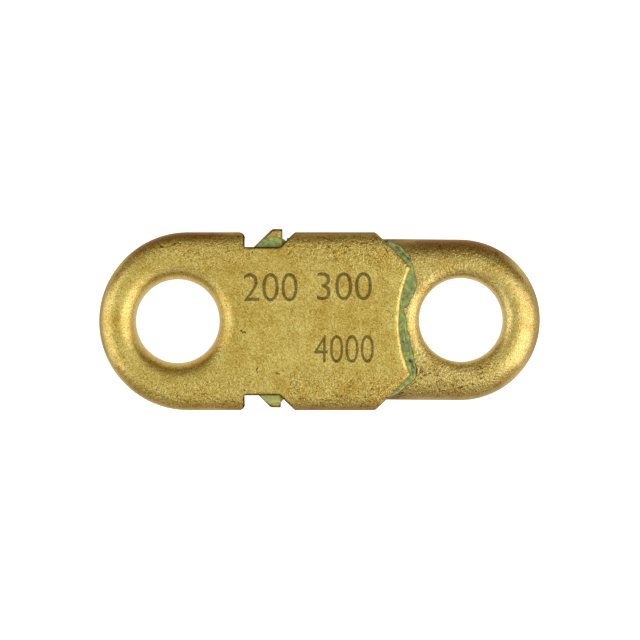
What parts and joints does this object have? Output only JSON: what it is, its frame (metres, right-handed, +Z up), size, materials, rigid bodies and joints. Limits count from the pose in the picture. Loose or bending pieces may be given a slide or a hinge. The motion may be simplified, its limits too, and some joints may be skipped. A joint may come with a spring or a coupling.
{
  "type": "fusible link",
  "caption": "Fusible link for a fire damper: two nested pressed brass plates, each with a round collared eye, soldered face to face so that they part when the alloy melts.",
  "frame": {"origin": "middle of the link's overall length, on the centre line of the upper plate, in the plane that the link rests on", "axes": "+X along the link towards the eye of the lower plate, +Z up from the rest plane to the face of the upper plate, +Y across the link"},
  "size_m": [0.058, 0.0238, 0.0044],
  "materials": {
    "brass": "satin, tumbled",
    "solder": "matt, green with corrosion and flux"
  },
  "bodies": {
    "root": {"upper_plate": "brass", "lower_plate": "brass", "solder": "solder"}
  },
  "joints": []
}
